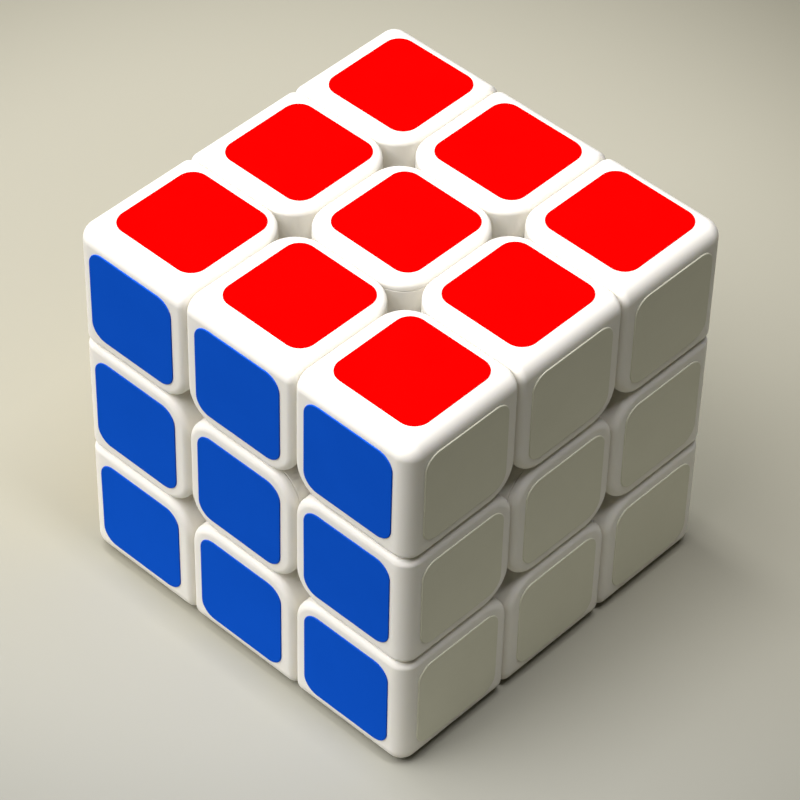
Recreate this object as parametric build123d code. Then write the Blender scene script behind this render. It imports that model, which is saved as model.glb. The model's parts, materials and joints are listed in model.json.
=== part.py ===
"""Twisty puzzle cube: three layers each way, twenty-six turning pieces on a six-armed core.

Origin at the centre of the cube, +Z up, front towards -Y, right towards +X.
Every surface where two moving pieces part is a plane, a cone or a ball about the turning axes.
"""
import os
from math import cos, radians, sin, sqrt, tan

from build123d import *

# ---------------------------------------------------------------- overall sizes
cube_side = 56.0
middle_layer = 18.2
sticker_thickness = 0.15
sticker_side = 14.2
sticker_corner = 2.3

# ---------------------------------------------------------------- outer pieces
wall = 1.5
hole_round = 4.5
outer_round = 2.4
rim_round = 1.0
cap_rim = 1.4
seam_bevel = 0.12
cap_skirt_depth = 3.0
cap_skirt_wall = 1.2

# ---------------------------------------------------------------- clearances
half_gap = 0.1
guide_clearance = 0.12
press_clearance = 0.05
stem_clearance = 0.2
thread_clearance = 0.05
screw_hole_clearance = 0.35
spring_clearance = 0.15

# ---------------------------------------------------------------- layers
body_half = cube_side / 2 - sticker_thickness
cut = middle_layer / 2
near = cut + half_gap
side = cut - half_gap

# ---------------------------------------------------------------- guide ball and feet
guide_margin = 2.95
foot_thickness = 5.0
guide_angle = 68.0
collar_reach = 1.0
corner_neck = 4.0
edge_neck = 1.0
stalk_radius = 3.7
stalk_overlap = 0.9
corner_boss_radius = 2.5
boss_height = 3.0
boss_sink = 0.5

guide_radius = cut * sqrt(3) + guide_margin
bowl_radius = guide_radius - foot_thickness
cone_low = bowl_radius / 4
cone_high = guide_radius + 1.5
corner_split = guide_radius + corner_neck
edge_split = guide_radius + edge_neck
stalk_end = corner_split + stalk_overlap

# ---------------------------------------------------------------- core, screws and springs
hub_radius = 5.8
arm_radius = 3.3
arm_recess = 5.4
stem_margin = 0.5
stem_floor = 2.8
well_radius = 3.15
hollow_floor_thickness = 0.6
screw_radius = 1.25
screw_tip = 2.46
screw_head_radius = 2.7
screw_head_height = 1.8
drive_slot_length = 3.2
drive_slot_width = 0.8
drive_slot_depth = 1.0
bore_relief = 0.4
washer_radius = 2.85
washer_thickness = 0.4
spring_wire = 0.3
spring_mean_radius = 2.2
spring_length = 4.0
spring_coils = 5

arm_end = bowl_radius - arm_recess
stem_radius = bowl_radius * cos(radians(guide_angle)) - guide_clearance - stem_margin
stem_end = arm_end + stem_clearance
floor_top = stem_end + stem_floor
hollow_floor = guide_radius + hollow_floor_thickness
spring_bottom = floor_top + spring_clearance
washer_bottom = spring_bottom + spring_length
head_bottom = washer_bottom + washer_thickness
head_top = head_bottom + screw_head_height
bore_end = screw_tip - bore_relief
seam_level = body_half - cap_rim

# turn from +Z to each face of the cube
FACES = {
    "up": (0, 0, 0),
    "down": (180, 0, 0),
    "front": (90, 0, 0),
    "back": (-90, 0, 0),
    "right": (0, 90, 0),
    "left": (0, -90, 0),
}

# turns that carry the edge piece built at up-back to each of its twelve places
EDGES = {
    "up_back": (0, 0),
    "up_left": (0, 90),
    "up_front": (0, 180),
    "up_right": (0, 270),
    "back_right": (90, 0),
    "back_left": (90, 90),
    "front_left": (90, 180),
    "front_right": (90, 270),
    "down_back": (180, 0),
    "down_left": (180, 90),
    "down_front": (180, 180),
    "down_right": (180, 270),
}

# turns that carry the corner piece built at up-back-right to each of its eight places
CORNERS = {
    "up_back_right": (0, 0),
    "up_back_left": (0, 90),
    "up_front_left": (0, 180),
    "up_front_right": (0, 270),
    "down_back_right": (90, 0),
    "down_back_left": (90, 90),
    "down_front_left": (90, 180),
    "down_front_right": (90, 270),
}


# ---------------------------------------------------------------- helpers
def facing(direction, shape):
    """Turn a shape built about +Z so that it points to the named face."""
    return Rot(*FACES[direction]) * shape


def placed(turns, shape):
    """Turn a shape about Y, then about Z, by the two given angles."""
    about_y, about_z = turns
    return shape.rotate(Axis.Y, about_y).rotate(Axis.Z, about_z)


def block(low, high):
    """Box between two corner points."""
    size = [high[i] - low[i] for i in range(3)]
    middle = [(high[i] + low[i]) / 2 for i in range(3)]
    return Pos(*middle) * Box(*size)


def column(radius, low, high):
    """Cylinder about +Z between two heights."""
    return Pos(0, 0, (low + high) / 2) * Cylinder(radius, high - low)


def square_column(half_width, corner, low, high):
    """Square bar about +Z between two heights, its four upright edges rounded."""
    outline = Pos(0, 0, low) * RectangleRounded(2 * half_width, 2 * half_width, corner)
    return extrude(outline, high - low)


def along(direction, shape):
    """Turn a shape built about +Z so that it points along the given direction."""
    return Plane(origin=(0, 0, 0), x_dir=(1, -1, 0), z_dir=direction) * shape


def along_edge(shape):
    """Turn a shape built about +Z so that it points up and back, keeping its X direction."""
    return Plane(origin=(0, 0, 0), x_dir=(1, 0, 0), z_dir=(0, 1, 1)) * shape


def lies_on(edge, axis, level):
    """True when a whole edge lies in the plane where one coordinate equals level."""
    points = [edge @ 0, edge @ 0.5, edge @ 1]
    return all(abs(getattr(point, axis) - level) < 1e-4 for point in points)


def round_off(shape, radius, wanted):
    """Round every edge of the shape that passes the test."""
    picked = [edge for edge in shape.edges() if wanted(edge)]
    return fillet(picked, radius)


def rounded_block(low, high, cuts, radius):
    """Block with every edge between two cut faces rounded."""
    return round_off(block(low, high), radius, lambda edge: sum(lies_on(edge, *face) for face in cuts) == 2)


def is_outer_edge(edge):
    """True for an edge where two outer faces meet."""
    return sum(lies_on(edge, axis, body_half) for axis in "XYZ") == 2


def is_rim(edge, cuts):
    """True for an edge that bounds an outer face or the rounding between two outer faces."""
    points = [edge @ 0, edge @ 0.5, edge @ 1]
    outside = all(max(point.X, point.Y, point.Z) > body_half - outer_round - 0.01 for point in points)
    on_cut = any(lies_on(edge, *face) for face in cuts)
    on_outer = any(lies_on(edge, axis, body_half) for axis in "XYZ")
    hole_arc = on_outer and edge.geom_type == GeomType.CIRCLE
    return hole_arc or (on_cut and outside)


def outer_block(low, high, cuts):
    """Outer block of an edge or corner piece with all its roundings."""
    body = rounded_block(low, high, cuts, hole_round)
    body = round_off(body, outer_round, is_outer_edge)
    return round_off(body, rim_round, lambda edge: is_rim(edge, cuts))


def guide_cone(direction, shift):
    """Cone about one turning axis without its tip, its slope moved inwards by the given shift."""
    lift = shift / sin(radians(guide_angle))
    slope = tan(radians(guide_angle))
    middle = (cone_low + cone_high) / 2
    narrow = (cone_low - lift) * slope
    wide = (cone_high - lift) * slope
    cone = Pos(0, 0, middle) * Cone(narrow, wide, cone_high - cone_low)
    return facing(direction, cone)


def inside_layer(direction):
    """Room that belongs to one turning layer below the guide ball."""
    return guide_cone(direction, guide_clearance)


def outside_layer(direction):
    """Room kept clear for one turning layer below the guide ball."""
    return guide_cone(direction, -guide_clearance)


def share(shape, inside, outside):
    """Part of a round shape that lies in some turning layers and keeps clear of others."""
    for direction in inside:
        shape = shape & inside_layer(direction)
    for direction in outside:
        shape = shape - outside_layer(direction)
    return shape


def with_foot(body, inside, outside):
    """Join an outer block to the foot that fills its share of the hollow guide ball."""
    slide = Sphere(guide_radius - guide_clearance) - Sphere(bowl_radius + guide_clearance)
    collar = Sphere(guide_radius + collar_reach) - Sphere(guide_radius - collar_reach)
    foot = share(slide, inside, outside)
    neck = body & share(collar, inside, outside)
    return (body - Sphere(guide_radius + guide_clearance)) + neck + foot


def beyond(distance):
    """Half space above a level plane."""
    reach = 3 * middle_layer
    return Pos(0, 0, distance + reach / 2) * Box(2 * reach, 2 * reach, reach)


def sticker(across, deep):
    """Square sticker lying on the top face, centred at the given place."""
    outline = Pos(across, deep, body_half) * RectangleRounded(sticker_side, sticker_side, sticker_corner)
    return extrude(outline, sticker_thickness)


def save(name, pieces):
    """Write the pieces of one part, each its own solid, to one file."""
    solids = [solid for piece in pieces for solid in piece.solids()]
    export_step(Compound(children=solids), f"parts/{name}.step")


# ---------------------------------------------------------------- corner piece, built at up-back-right
def make_corner():
    """Return the shell with its three stickers, and the foot, of one corner piece."""
    diagonal = (1, 1, 1)
    low = (near, near, near)
    high = (body_half, body_half, body_half)
    cuts = [("X", near), ("Y", near), ("Z", near)]
    stalk = along(diagonal, column(stalk_radius, 0, stalk_end))
    body = outer_block(low, high, cuts) + (stalk & block(low, high))
    whole = with_foot(body, ("up", "back", "right"), ())
    outer_half = along(diagonal, beyond(corner_split))
    inner_low = near + wall
    inner_high = body_half - wall
    inner_cuts = [("X", inner_low), ("Y", inner_low), ("Z", inner_low)]
    cavity = rounded_block((inner_low,) * 3, (inner_high,) * 3, inner_cuts, hole_round - wall)
    shell = (whole & outer_half) - cavity
    boss = column(corner_boss_radius, corner_split - boss_sink, corner_split + boss_height)
    foot = (whole - outer_half) + along(diagonal, boss)
    top = sticker(middle_layer, middle_layer)
    back = Rot(-90, 0, 0) * sticker(middle_layer, -middle_layer)
    right = Rot(0, 90, 0) * sticker(-middle_layer, middle_layer)
    return [shell, top, back, right], [foot]


# ---------------------------------------------------------------- edge piece, built at up-back
def make_edge():
    """Return the shell with its two stickers, and the foot, of one edge piece."""
    low = (-side, near, near)
    high = (side, body_half, body_half)
    cuts = [("X", -side), ("X", side), ("Y", near), ("Z", near)]
    whole = with_foot(outer_block(low, high, cuts), ("up", "back"), ("right", "left"))
    outer_half = along_edge(beyond(edge_split))
    inner_low = (wall - side, near + wall, near + wall)
    inner_high = (side - wall, body_half - wall, body_half - wall)
    inner_cuts = [("X", wall - side), ("X", side - wall), ("Y", near + wall), ("Z", near + wall)]
    cavity = rounded_block(inner_low, inner_high, inner_cuts, hole_round - wall)
    shell = (whole & outer_half) - cavity
    boss_width = 2 * (side - hole_round)
    boss_depth = 2 * (edge_split - sqrt(2) * (near + wall) - press_clearance)
    boss_middle = edge_split + (boss_height - boss_sink) / 2
    boss = Pos(0, 0, boss_middle) * Box(boss_width, boss_depth, boss_height + boss_sink)
    foot = (whole - outer_half) + along_edge(boss)
    top = sticker(0, middle_layer)
    back = Rot(-90, 0, 0) * sticker(0, -middle_layer)
    return [shell, top, back], [foot]


# ---------------------------------------------------------------- centre piece, built at up
def make_centre():
    """Return the base, and the cap with its sticker, of one centre piece."""
    body = square_column(side, hole_round, cut, seam_level)
    body = round_off(body, seam_bevel, lambda edge: lies_on(edge, "Z", seam_level))
    stem = column(stem_radius, stem_end, bowl_radius + collar_reach)
    whole = with_foot(body, ("up",), ("front", "back", "left", "right")) + stem
    hollow = square_column(side - wall, hole_round - wall, hollow_floor, body_half)
    well = column(well_radius, floor_top, body_half)
    screw_hole = column(screw_radius + screw_hole_clearance, 0, floor_top + 1)
    base = whole - hollow - well - screw_hole
    plate = square_column(side, hole_round, seam_level, body_half)
    plate = round_off(plate, rim_round, lambda edge: lies_on(edge, "Z", body_half))
    plate = round_off(plate, seam_bevel, lambda edge: lies_on(edge, "Z", seam_level))
    skirt_half = side - wall - press_clearance
    skirt_bottom = seam_level - cap_skirt_depth
    skirt = square_column(skirt_half, hole_round - wall, skirt_bottom, seam_level)
    skirt_bore_half = skirt_half - cap_skirt_wall
    skirt_bore_round = hole_round - wall - cap_skirt_wall
    skirt = skirt - square_column(skirt_bore_half, skirt_bore_round, skirt_bottom - 1, seam_level)
    return [base], [plate + skirt, sticker(0, 0)]


# ---------------------------------------------------------------- core and the hardware on its six arms
def make_spider():
    """Six-armed core with a blind screw bore in each arm."""
    spider = Sphere(hub_radius)
    for direction in ("up", "front", "right"):
        spider = spider + facing(direction, column(arm_radius, -arm_end, arm_end))
    for direction in FACES:
        bore = column(screw_radius + thread_clearance, bore_end, arm_end + 1)
        spider = spider - facing(direction, bore)
    return spider


def make_screw():
    """Pan-head screw with a cross slot, standing on +Z."""
    shank = column(screw_radius, screw_tip, head_bottom + 0.5)
    shank = chamfer(shank.edges().sort_by(Axis.Z)[0], screw_radius / 3)
    head = column(screw_head_radius, head_bottom, head_top)
    head = fillet(head.edges().sort_by(Axis.Z)[-1], screw_head_height / 3)
    slot_middle = head_top - drive_slot_depth / 2
    slot = Pos(0, 0, slot_middle) * Box(drive_slot_length, drive_slot_width, drive_slot_depth)
    cross = slot + Rot(0, 0, 90) * slot
    return shank + head - cross


def make_washer():
    """Flat washer between the screw head and the spring."""
    ring = column(washer_radius, washer_bottom, head_bottom)
    return ring - column(screw_radius + screw_hole_clearance, washer_bottom - 1, head_bottom + 1)


def make_spring():
    """Compression spring that holds one centre piece down on its arm."""
    low = spring_bottom + spring_wire
    rise = spring_length - 2 * spring_wire
    path = Pos(0, 0, low) * Helix(rise / spring_coils, rise, spring_mean_radius)
    start = Plane(origin=path @ 0, z_dir=path % 0)
    return sweep(start * Circle(spring_wire), path=path)


# ---------------------------------------------------------------- write every part
os.makedirs("parts", exist_ok=True)

save("core_spider", [make_spider()])
save("core_screws", [facing(direction, make_screw()) for direction in FACES])
save("core_washers", [facing(direction, make_washer()) for direction in FACES])
save("core_springs", [facing(direction, make_spring()) for direction in FACES])

centre_base, centre_cap = make_centre()
for direction in FACES:
    save(f"center_{direction}_base", [facing(direction, piece) for piece in centre_base])
    save(f"center_{direction}_cap", [facing(direction, piece) for piece in centre_cap])

edge_shell, edge_foot = make_edge()
for place, turns in EDGES.items():
    save(f"edge_{place}_shell", [placed(turns, piece) for piece in edge_shell])
    save(f"edge_{place}_foot", [placed(turns, piece) for piece in edge_foot])

corner_shell, corner_foot = make_corner()
for place, turns in CORNERS.items():
    save(f"corner_{place}_shell", [placed(turns, piece) for piece in corner_shell])
    save(f"corner_{place}_foot", [placed(turns, piece) for piece in corner_foot])
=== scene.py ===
"""Looks of the twisty puzzle cube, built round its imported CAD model.

Metres, in the CAD frame: origin at the cube's centre, +Z up, front towards -Y, right towards +X.
The outer shells, centre caps and stickers are built here as fine meshes that stand for their CAD nodes.
The feet, the centre bases, the core and its hardware stay the CAD's own meshes with procedural materials.
"""

import json
import math
import random

import bmesh
import bpy
from mathutils import Matrix, Vector

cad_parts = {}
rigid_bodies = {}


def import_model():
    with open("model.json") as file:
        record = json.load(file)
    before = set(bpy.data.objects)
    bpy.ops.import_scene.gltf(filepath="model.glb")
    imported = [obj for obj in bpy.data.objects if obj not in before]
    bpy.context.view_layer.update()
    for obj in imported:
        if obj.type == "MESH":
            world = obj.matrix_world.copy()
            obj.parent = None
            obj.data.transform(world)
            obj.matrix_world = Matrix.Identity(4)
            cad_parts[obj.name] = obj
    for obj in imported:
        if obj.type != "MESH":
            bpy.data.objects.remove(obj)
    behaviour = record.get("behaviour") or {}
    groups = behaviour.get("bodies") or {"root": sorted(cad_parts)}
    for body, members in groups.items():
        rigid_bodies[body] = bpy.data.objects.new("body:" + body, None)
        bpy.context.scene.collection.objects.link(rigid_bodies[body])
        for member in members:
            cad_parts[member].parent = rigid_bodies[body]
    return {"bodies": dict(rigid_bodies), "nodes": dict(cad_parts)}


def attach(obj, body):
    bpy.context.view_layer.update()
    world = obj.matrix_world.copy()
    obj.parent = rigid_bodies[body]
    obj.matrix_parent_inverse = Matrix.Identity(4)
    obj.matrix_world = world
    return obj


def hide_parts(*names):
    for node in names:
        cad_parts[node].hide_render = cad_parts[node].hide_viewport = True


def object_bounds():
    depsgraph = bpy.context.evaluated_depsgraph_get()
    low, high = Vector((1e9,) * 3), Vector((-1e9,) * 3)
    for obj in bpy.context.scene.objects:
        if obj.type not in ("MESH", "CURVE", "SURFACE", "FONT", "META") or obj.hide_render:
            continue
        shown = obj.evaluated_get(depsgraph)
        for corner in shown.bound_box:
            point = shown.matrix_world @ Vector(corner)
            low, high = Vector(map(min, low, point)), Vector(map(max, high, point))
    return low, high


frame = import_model()
cad_low, cad_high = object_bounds()

MM = 0.001
ORIGIN = Vector((0, 0, 0))

# ---------------------------------------------------------------- sizes, in mm, the same as the CAD's
STICKER_THICKNESS = 0.15
BODY_HALF = cad_high.z / MM - STICKER_THICKNESS
STICKER_SIDE = 14.2
STICKER_CORNER = 2.3
STICKER_EDGE = 0.12
LAYER = 18.2
NEAR = 9.2
SIDE = 9.0
WALL = 1.5
HOLE_ROUND = 4.5
OUTER_ROUND = 2.4
RIM_ROUND = 1.0
CORNER_SPLIT = 22.71
EDGE_SPLIT = 19.71
CAP_RIM = 1.4
SEAM_LEVEL = BODY_HALF - CAP_RIM
SEAM_BEVEL = 0.12
SKIRT_DEPTH = 3.0
SKIRT_WALL = 1.2
PRESS_GAP = 0.05

# turn from +Z to each face, and the way each face looks
FACES = {
    "up": Matrix.Identity(4),
    "down": Matrix.Rotation(math.pi, 4, "X"),
    "front": Matrix.Rotation(math.pi / 2, 4, "X"),
    "back": Matrix.Rotation(-math.pi / 2, 4, "X"),
    "right": Matrix.Rotation(math.pi / 2, 4, "Y"),
    "left": Matrix.Rotation(-math.pi / 2, 4, "Y"),
}
FACE_NORMALS = {
    "up": Vector((0, 0, 1)),
    "down": Vector((0, 0, -1)),
    "front": Vector((0, -1, 0)),
    "back": Vector((0, 1, 0)),
    "right": Vector((1, 0, 0)),
    "left": Vector((-1, 0, 0)),
}
# sticker material of each face
VINYL = {
    "up": "red_vinyl",
    "front": "blue_vinyl",
    # the right face's white stickers carry painted shade in their colour
    "right": "white_vinyl",
    "down": "orange_vinyl",
    "back": "green_vinyl",
    "left": "yellow_vinyl",
}
# turns about Y and Z, in degrees, that carry the piece built at the first place to each of its places
EDGES = {
    "up_back": (0, 0),
    "up_left": (0, 90),
    "up_front": (0, 180),
    "up_right": (0, 270),
    "back_right": (90, 0),
    "back_left": (90, 90),
    "front_left": (90, 180),
    "front_right": (90, 270),
    "down_back": (180, 0),
    "down_left": (180, 90),
    "down_front": (180, 180),
    "down_right": (180, 270),
}
CORNERS = {
    "up_back_right": (0, 0),
    "up_back_left": (0, 90),
    "up_front_left": (0, 180),
    "up_front_right": (0, 270),
    "down_back_right": (90, 0),
    "down_back_left": (90, 90),
    "down_front_left": (90, 180),
    "down_front_right": (90, 270),
}
# how far each face's stickers were laid off the middle, along X, Y and Z, in mm
SHEET_SHIFT = {
    "up": (0.35, 0.45, 0),
    "front": (-0.1, 0, 0.05),
    "right": (0, 0, 0),
    "down": (0.1, -0.1, 0),
    "back": (0.1, 0, 0.1),
    "left": (0, 0.1, -0.1),
}
# how far one sticker may lie off its neighbours, in mm and degrees
STICKER_WANDER = 0.05
STICKER_TWIST = 0.25


# ---------------------------------------------------------------- materials
NOISE_MIDDLE = (0.3, 0.7)
PLASTIC_IOR = 1.5
VINYL_IOR = 1.45
GLOW_RADIUS = (1.0, 0.85, 0.6)
GLOW_SCALE = 0.0015


def node_material(name):
    """New node material with its shader and the object's own coordinates."""
    material = bpy.data.materials.new(name)
    material.use_nodes = True
    tree = material.node_tree
    shader = next(n for n in tree.nodes if n.type == "BSDF_PRINCIPLED")
    place = tree.nodes.new("ShaderNodeTexCoord")
    return material, tree, shader, place.outputs["Object"]


def noise(tree, place, scale, detail=3):
    """Noise of the given scale, in cycles per metre."""
    node = tree.nodes.new("ShaderNodeTexNoise")
    node.inputs["Scale"].default_value = scale
    node.inputs["Detail"].default_value = detail
    node.inputs["Roughness"].default_value = 0.5
    tree.links.new(place, node.inputs["Vector"])
    return node.outputs["Fac"]


def map_range(tree, value, source, target, curve="LINEAR"):
    """Map one range of values to another, held at both ends."""
    node = tree.nodes.new("ShaderNodeMapRange")
    node.interpolation_type = curve
    node.inputs["From Min"].default_value, node.inputs["From Max"].default_value = source
    node.inputs["To Min"].default_value, node.inputs["To Max"].default_value = target
    tree.links.new(value, node.inputs["Value"])
    return node.outputs["Result"]


def spread(tree, value, low=0, high=1):
    """Map the useful middle of a noise to a range."""
    return map_range(tree, value, NOISE_MIDDLE, (low, high))


def vector_math(tree, operation, place, other):
    """Value of a vector operation between a place and a fixed vector."""
    node = tree.nodes.new("ShaderNodeVectorMath")
    node.operation = operation
    node.inputs[1].default_value = other
    tree.links.new(place, node.inputs[0])
    return node.outputs["Value"]


def two_tone(tree, value, one, other):
    """Colour between two tones, by a value."""
    node = tree.nodes.new("ShaderNodeMix")
    node.data_type = "RGBA"
    node.inputs["A"].default_value = (*one, 1)
    node.inputs["B"].default_value = (*other, 1)
    tree.links.new(value, node.inputs["Factor"])
    return node.outputs["Result"]


def bump(tree, height, strength, distance, below=None):
    """Fine relief, on top of another if given."""
    node = tree.nodes.new("ShaderNodeBump")
    node.inputs["Strength"].default_value = strength
    node.inputs["Distance"].default_value = distance
    tree.links.new(height, node.inputs["Height"])
    if below is not None:
        tree.links.new(below, node.inputs["Normal"])
    return node.outputs["Normal"]


def moulded_plastic(name, one, other, rough, specular, glow=0.0):
    """Moulded plastic: slight flow clouds in its tone and gloss, a fine skin and a soft glow."""
    material, tree, shader, place = node_material(name)
    cloud = noise(tree, place, scale=90, detail=4)
    flow = noise(tree, place, scale=420)
    skin = noise(tree, place, scale=5200, detail=2)
    tree.links.new(two_tone(tree, spread(tree, cloud), one, other), shader.inputs["Base Color"])
    tree.links.new(spread(tree, flow, rough - 0.03, rough + 0.04), shader.inputs["Roughness"])
    relief = bump(tree, flow, strength=0.12, distance=3e-5)
    relief = bump(tree, skin, strength=0.08, distance=1.2e-5, below=relief)
    tree.links.new(relief, shader.inputs["Normal"])
    shader.inputs["IOR"].default_value = PLASTIC_IOR
    shader.inputs["Specular IOR Level"].default_value = specular
    if glow:
        shader.inputs["Subsurface Weight"].default_value = glow
        shader.inputs["Subsurface Radius"].default_value = GLOW_RADIUS
        shader.inputs["Subsurface Scale"].default_value = GLOW_SCALE
    return material


def vinyl(name, one, other, rough, specular):
    """Printed vinyl sticker: even ink with a soft orange-peel surface."""
    material, tree, shader, place = node_material(name)
    cloud = noise(tree, place, scale=160)
    peel = noise(tree, place, scale=1500, detail=2)
    grain = noise(tree, place, scale=9000, detail=2)
    tree.links.new(two_tone(tree, spread(tree, cloud), one, other), shader.inputs["Base Color"])
    tree.links.new(spread(tree, peel, rough - 0.04, rough + 0.05), shader.inputs["Roughness"])
    relief = bump(tree, peel, strength=0.1, distance=2e-5)
    relief = bump(tree, grain, strength=0.06, distance=8e-6, below=relief)
    tree.links.new(relief, shader.inputs["Normal"])
    shader.inputs["IOR"].default_value = VINYL_IOR
    shader.inputs["Specular IOR Level"].default_value = specular
    return material


def plated_metal(name, one, other, rough, scale):
    """Plated or drawn metal with fine uneven gloss."""
    material, tree, shader, place = node_material(name)
    cloud = noise(tree, place, scale)
    fine = noise(tree, place, scale * 9)
    tree.links.new(two_tone(tree, spread(tree, cloud), one, other), shader.inputs["Base Color"])
    tree.links.new(spread(tree, fine, rough - 0.08, rough + 0.1), shader.inputs["Roughness"])
    tree.links.new(bump(tree, fine, strength=0.1, distance=1e-5), shader.inputs["Normal"])
    shader.inputs["Metallic"].default_value = 1.0
    return material


# material name, two tones, roughness, specular level and glow
PLASTICS = {
    "white_plastic": ("white_abs", (0.915, 0.885, 0.80), (0.93, 0.90, 0.82), 0.34, 0.3, 0.12),
    # the feet's plastic: a more yellow copy of the white plastic, painted warm bounce light for the feet
    # seen down in the holes
    "inner_plastic": ("abs_painted_bounce", (0.955, 0.89, 0.70), (0.965, 0.90, 0.72), 0.38, 0.3, 0.2),
    "core_plastic": ("core_nylon", (0.74, 0.73, 0.68), (0.78, 0.77, 0.73), 0.5, 0.4),
}
# two tones, roughness and specular level, with the slot's name for the material
VINYLS = {
    "red_vinyl": ((0.93, 0.0004, 0.0003), (0.97, 0.0006, 0.0004), 0.5, 0.0),
    "blue_vinyl": ((0.005, 0.087, 0.585), (0.0055, 0.091, 0.605), 0.45, 0.0),
    # painted shade: the white stickers are darker and more olive than the white plastic, the tone they
    # show in shade on the right face
    "white_vinyl": ((0.78, 0.77, 0.61), (0.80, 0.79, 0.63), 0.45, 0.3),
    "orange_vinyl": ((0.95, 0.14, 0.004), (0.97, 0.15, 0.005), 0.5, 0.12),
    "green_vinyl": ((0.004, 0.27, 0.035), (0.005, 0.29, 0.04), 0.5, 0.12),
    "yellow_vinyl": ((0.95, 0.66, 0.006), (0.96, 0.68, 0.008), 0.5, 0.12),
}
# material name, two tones, roughness and noise scale
METALS = {
    "screw_steel": ("zinc_plate", (0.66, 0.68, 0.70), (0.74, 0.75, 0.75), 0.26, 700),
    "spring_steel": ("spring_wire", (0.5, 0.5, 0.52), (0.58, 0.58, 0.59), 0.3, 900),
}
MATERIALS = {
    **{slot: moulded_plastic(*look) for slot, look in PLASTICS.items()},
    **{slot: vinyl(slot, *look) for slot, look in VINYLS.items()},
    **{slot: plated_metal(*look) for slot, look in METALS.items()},
}


# ---------------------------------------------------------------- mesh helpers
SAME_PLACE = 1e-4
SHARP_ANGLE = math.radians(40)


def bevel(bm, wanted, radius, segments):
    """Round every edge of the mesh that passes the test."""
    picked = [e for e in bm.edges if wanted(e)]
    bmesh.ops.bevel(bm, geom=picked, offset=radius, offset_type="OFFSET", segments=segments,
                    profile=0.5, affect="EDGES", clamp_overlap=False, loop_slide=True)
    bmesh.ops.remove_doubles(bm, verts=bm.verts, dist=1e-5)
    bmesh.ops.dissolve_degenerate(bm, dist=1e-6, edges=bm.edges)
    bm.normal_update()


def box_mesh(low, high):
    """Box between two corner points."""
    bm = bmesh.new()
    bmesh.ops.create_cube(bm, size=1.0)
    size = Vector(high) - Vector(low)
    middle = (Vector(high) + Vector(low)) / 2
    for v in bm.verts:
        v.co = Vector(middle[i] + v.co[i] * size[i] for i in range(3))
    bm.normal_update()
    return bm


def on_planes(edge, planes):
    """How many of the given planes, as (axis, level), hold the whole edge."""
    return sum(all(abs(v.co[axis] - level) < SAME_PLACE for v in edge.verts) for axis, level in planes)


def is_rim(edge, outward):
    """True where a surface that looks outwards meets one that doesn't."""
    looks = [any(f.normal[axis] > 0.05 for axis in outward) for f in edge.link_faces]
    return len(looks) == 2 and looks[0] != looks[1]


def shell_mesh(low, high, cuts, outward, split_normal, split_at):
    """Hollow outer block of an edge or corner piece, cut off where its foot begins.

    The cuts are the faces towards its neighbours and outward names the axes of its faces on the outside.
    """
    bm = box_mesh(low, high)
    outer = [(axis, BODY_HALF) for axis in outward]
    bevel(bm, lambda e: on_planes(e, cuts) == 2, HOLE_ROUND, 12)
    bevel(bm, lambda e: on_planes(e, outer) == 2, OUTER_ROUND, 10)
    bevel(bm, lambda e: is_rim(e, outward), RIM_ROUND, 6)
    inner_low = [c + WALL for c in low]
    inner_high = [c - WALL for c in high]
    inner = box_mesh(inner_low, inner_high)
    inner_cuts = [
        (axis, inner_low[axis] if level == low[axis] else inner_high[axis])
        for axis, level in cuts
    ]
    bevel(inner, lambda e: on_planes(e, inner_cuts) == 2, HOLE_ROUND - WALL, 8)
    inner_outer = [(axis, inner_high[axis]) for axis in outward]
    bevel(inner, lambda e: on_planes(e, inner_outer) == 2, OUTER_ROUND - WALL, 5)
    normal = Vector(split_normal).normalized()
    for part in (bm, inner):
        everything = part.verts[:] + part.edges[:] + part.faces[:]
        bmesh.ops.bisect_plane(part, geom=everything, dist=1e-6, plane_co=normal * split_at,
                               plane_no=normal, clear_inner=True)
    bmesh.ops.reverse_faces(inner, faces=inner.faces)
    hollow = bpy.data.meshes.new("hollow")
    inner.to_mesh(hollow)
    inner.free()
    bm.from_mesh(hollow)
    bpy.data.meshes.remove(hollow)
    border = [e for e in bm.edges if e.is_boundary]
    bmesh.ops.triangle_fill(bm, use_beauty=True, use_dissolve=False, edges=border, normal=-normal)
    bmesh.ops.recalc_face_normals(bm, faces=bm.faces)
    return to_mesh(bm)


def rounded_square(half, corner, segments):
    """Points round a square with rounded corners, counter-clockwise."""
    points = []
    for quarter, (across, along) in enumerate([(1, 1), (-1, 1), (-1, -1), (1, -1)]):
        cx = (half - corner) * across
        cy = (half - corner) * along
        for i in range(segments + 1):
            a = quarter * math.pi / 2 + i * math.pi / 2 / segments
            points.append((cx + corner * math.cos(a), cy + corner * math.sin(a)))
    return points


def swept_mesh(half, corner, segments, profile):
    """Closed solid made of one rounded square, drawn in by each (inset, height) of the profile."""
    bm = bmesh.new()
    rings = [
        [bm.verts.new((x, y, height)) for x, y in rounded_square(half - inset, corner - inset, segments)]
        for inset, height in profile
    ]
    for lower, upper in zip(rings, rings[1:]):
        for i in range(len(lower)):
            j = (i + 1) % len(lower)
            bm.faces.new((lower[i], lower[j], upper[j], upper[i]))
    bm.faces.new(reversed(rings[0]))
    bm.faces.new(rings[-1])
    bmesh.ops.recalc_face_normals(bm, faces=bm.faces)
    return to_mesh(bm)


def quarter_profile(inset, height, radius, segments):
    """Points of a rim rounding that ends at the given inset and height."""
    steps = [i * math.pi / 2 / segments for i in range(segments + 1)]
    return [(inset + radius * (1 - math.cos(a)), height - radius + radius * math.sin(a)) for a in steps]


def to_mesh(bm):
    """Finish a mesh: smooth faces, with sharp edges kept where the surface turns hard."""
    bm.normal_update()
    mesh = bpy.data.meshes.new("built")
    bm.to_mesh(mesh)
    bm.free()
    mesh.shade_smooth()
    mesh.set_sharp_from_angle(angle=SHARP_ANGLE)
    return mesh


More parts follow.
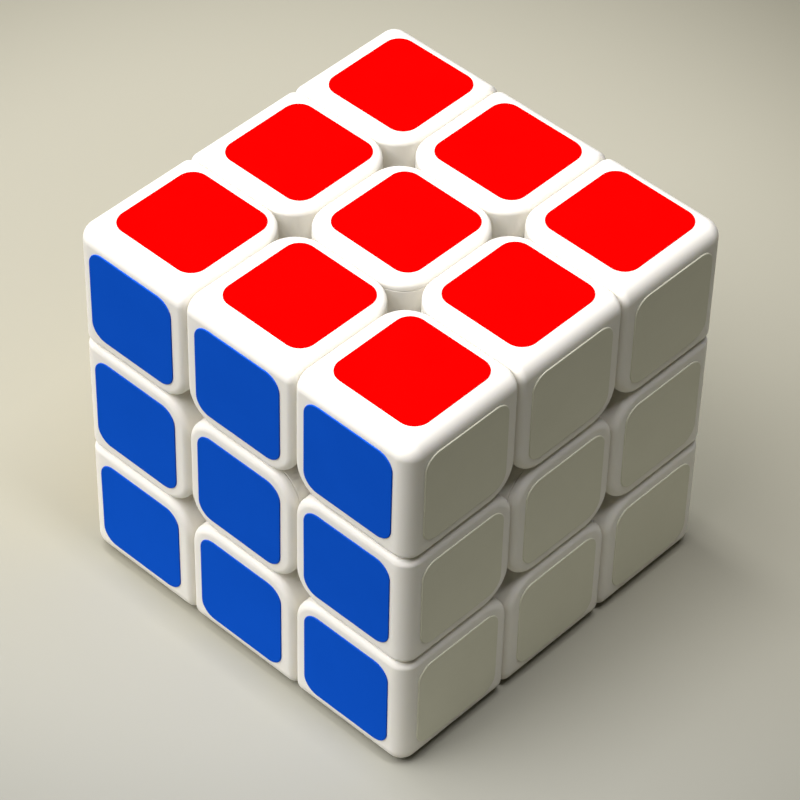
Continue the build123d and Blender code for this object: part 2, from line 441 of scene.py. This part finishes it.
def placed(turns):
    """Turn about Y, then about Z, by the two given angles in degrees."""
    about_y, about_z = (math.radians(a) for a in turns)
    return Matrix.Rotation(about_z, 4, "Z") @ Matrix.Rotation(about_y, 4, "Y")


def piece(name, mesh, turn, body, slot, nodes=()):
    """Object from a mesh in mm, turned into place, that rides on a body and stands for its CAD nodes."""
    mesh = mesh.copy()
    mesh.name = name
    mesh.transform(Matrix.Scale(MM, 4) @ turn)
    obj = bpy.data.objects.new(name, mesh)
    bpy.context.scene.collection.objects.link(obj)
    mesh.materials.clear()
    mesh.materials.append(MATERIALS[slot])
    even = obj.modifiers.new("even_normals", "WEIGHTED_NORMAL")
    even.keep_sharp = True
    even.weight = 90
    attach(obj, body)
    if nodes:
        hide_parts(*nodes)
    return obj


# ---------------------------------------------------------------- pieces
corner_shell = shell_mesh(
    (NEAR, NEAR, NEAR),
    (BODY_HALF, BODY_HALF, BODY_HALF),
    [(0, NEAR), (1, NEAR), (2, NEAR)],
    (0, 1, 2),
    (1, 1, 1),
    CORNER_SPLIT,
)
edge_shell = shell_mesh(
    (-SIDE, NEAR, NEAR),
    (SIDE, BODY_HALF, BODY_HALF),
    [(0, -SIDE), (0, SIDE), (1, NEAR), (2, NEAR)],
    (1, 2),
    (0, 1, 1),
    EDGE_SPLIT,
)
skirt_out = WALL + PRESS_GAP
skirt_in = skirt_out + SKIRT_WALL
skirt_bottom = SEAM_LEVEL - SKIRT_DEPTH
cap = swept_mesh(
    SIDE,
    HOLE_ROUND,
    12,
    [
        (skirt_in, SEAM_LEVEL),
        (skirt_in, skirt_bottom),
        (skirt_out, skirt_bottom),
        (skirt_out, SEAM_LEVEL),
        (SEAM_BEVEL, SEAM_LEVEL),
        (0, SEAM_LEVEL + SEAM_BEVEL),
        *quarter_profile(0, BODY_HALF, RIM_ROUND, 7),
    ],
)
sticker = swept_mesh(
    STICKER_SIDE / 2,
    STICKER_CORNER,
    10,
    [(0, 0), *quarter_profile(0, STICKER_THICKNESS, STICKER_EDGE, 4)],
)

for place, turns in CORNERS.items():
    body = f"corner_{place}"
    piece(f"shell_{body}", corner_shell, placed(turns), body, "white_plastic", [f"{body}_shell"])
for place, turns in EDGES.items():
    body = f"edge_{place}"
    piece(f"shell_{body}", edge_shell, placed(turns), body, "white_plastic", [f"{body}_shell"])
for face, turn in FACES.items():
    body = f"center_{face}"
    piece(f"cap_{face}", cap, turn, body, "white_plastic", [f"{body}_cap"])

# every body that shows on a face gets that face's sticker, at the middle of its cubie
draw = random.Random(7)
for body in frame["bodies"]:
    if body == "core":
        continue
    places = body.split("_")[1:]
    middle = sum((FACE_NORMALS[p] for p in places), Vector()) * LAYER
    for face in places:
        normal = FACE_NORMALS[face]
        seat = middle - normal * middle.dot(normal) + normal * BODY_HALF
        shift = Vector(SHEET_SHIFT[face])
        wander = Vector([draw.uniform(-STICKER_WANDER, STICKER_WANDER) for _ in range(3)])
        wander -= normal * wander.dot(normal)
        twist = Matrix.Rotation(math.radians(draw.uniform(-STICKER_TWIST, STICKER_TWIST)), 4, "Z")
        turn = Matrix.Translation(seat + shift + wander) @ FACES[face] @ twist
        piece(f"sticker_{face}_on_{body}", sticker, turn, body, VINYL[face])

# CAD nodes that stay get their materials, by the last word of their names
NODE_SLOTS = {
    "base": "white_plastic",
    "foot": "inner_plastic",
    "spider": "core_plastic",
    # the feet get the copy of the white plastic with painted warm bounce light
    "springs": "spring_steel",
    "screws": "screw_steel",
    "washers": "screw_steel",
}
for name, node in frame["nodes"].items():
    if node.hide_render:
        continue
    node.data.materials.clear()
    node.data.materials.append(MATERIALS[NODE_SLOTS[name.rsplit("_", 1)[1]]])

# ---------------------------------------------------------------- floor
FLOOR_HALF = 3.0
FLOOR_CELLS = 40
# painted light and shade on the floor: lighter on the left where the light falls, darker on the right,
# and darker still far off
LIT_LEFT_TONE = (0.396, 0.379, 0.298)
SHADED_RIGHT_TONE = (0.316, 0.316, 0.278)
FAR_FALLOFF_TONE = (0.09, 0.086, 0.055, 1)
# painted light and shade: the tone changes from the lit left to the shaded right along this way, between
# these distances, in metres
LIGHT_FALL_WAY = (math.sqrt(0.5), -math.sqrt(0.5), 0)
LIGHT_FALL_RANGE = (-0.02, 0.08)
# and a painted falloff of the light darkens it with distance from this point
LIT_MIDDLE = (-0.03, 0.012, 0)
FALLOFF_RANGE = (0.06, 0.16)


def paper_with_painted_light():
    """Matt backdrop paper with painted light and shade: lighter and warm on the left, darker and cooler
    on the right, and darker far off.
    """
    material, tree, shader, place = node_material("floor_paper_painted_light")
    across = vector_math(tree, "DOT_PRODUCT", place, LIGHT_FALL_WAY)
    painted_shade_amount = map_range(tree, across, LIGHT_FALL_RANGE, (0, 1), "SMOOTHSTEP")
    distance = vector_math(tree, "DISTANCE", place, LIT_MIDDLE)
    painted_falloff = map_range(tree, distance, FALLOFF_RANGE, (0, 1), "SMOOTHSTEP")
    dim = tree.nodes.new("ShaderNodeMix")
    dim.data_type = "RGBA"
    dim.inputs["B"].default_value = FAR_FALLOFF_TONE
    # painted shade from left to right, then a painted falloff of the light far off
    tree.links.new(two_tone(tree, painted_shade_amount, LIT_LEFT_TONE, SHADED_RIGHT_TONE), dim.inputs["A"])
    tree.links.new(painted_falloff, dim.inputs["Factor"])
    tree.links.new(dim.outputs["Result"], shader.inputs["Base Color"])
    fibres = noise(tree, place, scale=900)
    tree.links.new(bump(tree, fibres, strength=0.05, distance=1e-4), shader.inputs["Normal"])
    shader.inputs["Roughness"].default_value = 0.7
    shader.inputs["Specular IOR Level"].default_value = 0.2
    return material


floor_mesh = bpy.data.meshes.new("floor")
bm = bmesh.new()
bmesh.ops.create_grid(bm, x_segments=FLOOR_CELLS, y_segments=FLOOR_CELLS, size=FLOOR_HALF)
bm.to_mesh(floor_mesh)
bm.free()
floor = bpy.data.objects.new("floor", floor_mesh)
floor.location.z = cad_low.z
bpy.context.scene.collection.objects.link(floor)
floor_mesh.materials.append(paper_with_painted_light())

# ---------------------------------------------------------------- lights
LIGHT_COLOUR = (0.98, 0.97, 1.0)
WORLD_COLOUR = (0.86, 0.85, 0.80, 1)
WORLD_STRENGTH = 0.01


def softbox(name, place, width, height, power):
    """Rectangular studio light that looks at the cube, sizes in metres and power in watts."""
    data = bpy.data.lights.new(name, "AREA")
    data.shape = "RECTANGLE"
    data.size, data.size_y = width, height
    data.energy = power
    data.color = LIGHT_COLOUR
    lamp = bpy.data.objects.new(name, data)
    lamp.location = place
    lamp.rotation_mode = "QUATERNION"
    lamp.rotation_quaternion = (ORIGIN - Vector(place)).to_track_quat("-Z", "Y")
    bpy.context.scene.collection.objects.link(lamp)


softbox("overhead", (-0.34, -0.50, 0.95), 0.9, 0.9, 16.0)
# this one stands a little to the right, so that it catches the upper edges of the right-hand stickers
softbox("top_strip", (0.035, 0.0, 1.25), 0.14, 1.0, 13.0)
softbox("front", (-0.5, -0.95, 0.72), 0.7, 0.7, 3.3)

world = bpy.data.worlds.new("studio")
bpy.context.scene.world = world
world.use_nodes = True
background = next(n for n in world.node_tree.nodes if n.type == "BACKGROUND")
background.inputs["Color"].default_value = WORLD_COLOUR
background.inputs["Strength"].default_value = WORLD_STRENGTH

# ---------------------------------------------------------------- camera
SENSOR_WIDTH = 36.0
FOCAL_LENGTH = 161.74
CLIP_NEAR, CLIP_FAR = 0.02, 20.0
# columns: the view's right, its up, the way back from the cube, and the camera's place
CAMERA_MATRIX = Matrix((
    (0.72407, -0.49415, 0.48118, 0.21838),
    (0.68949, 0.50029, -0.52375, -0.23724),
    (0.01809, 0.71100, 0.70296, 0.31643),
    (0, 0, 0, 1),
))

camera_data = bpy.data.cameras.new("camera")
camera_data.sensor_width = SENSOR_WIDTH
camera_data.lens = FOCAL_LENGTH
camera_data.clip_start = CLIP_NEAR
camera_data.clip_end = CLIP_FAR
camera = bpy.data.objects.new("camera", camera_data)
camera.matrix_world = CAMERA_MATRIX
bpy.context.scene.collection.objects.link(camera)
bpy.context.scene.camera = camera
bpy.context.scene.view_settings.view_transform = "Standard"
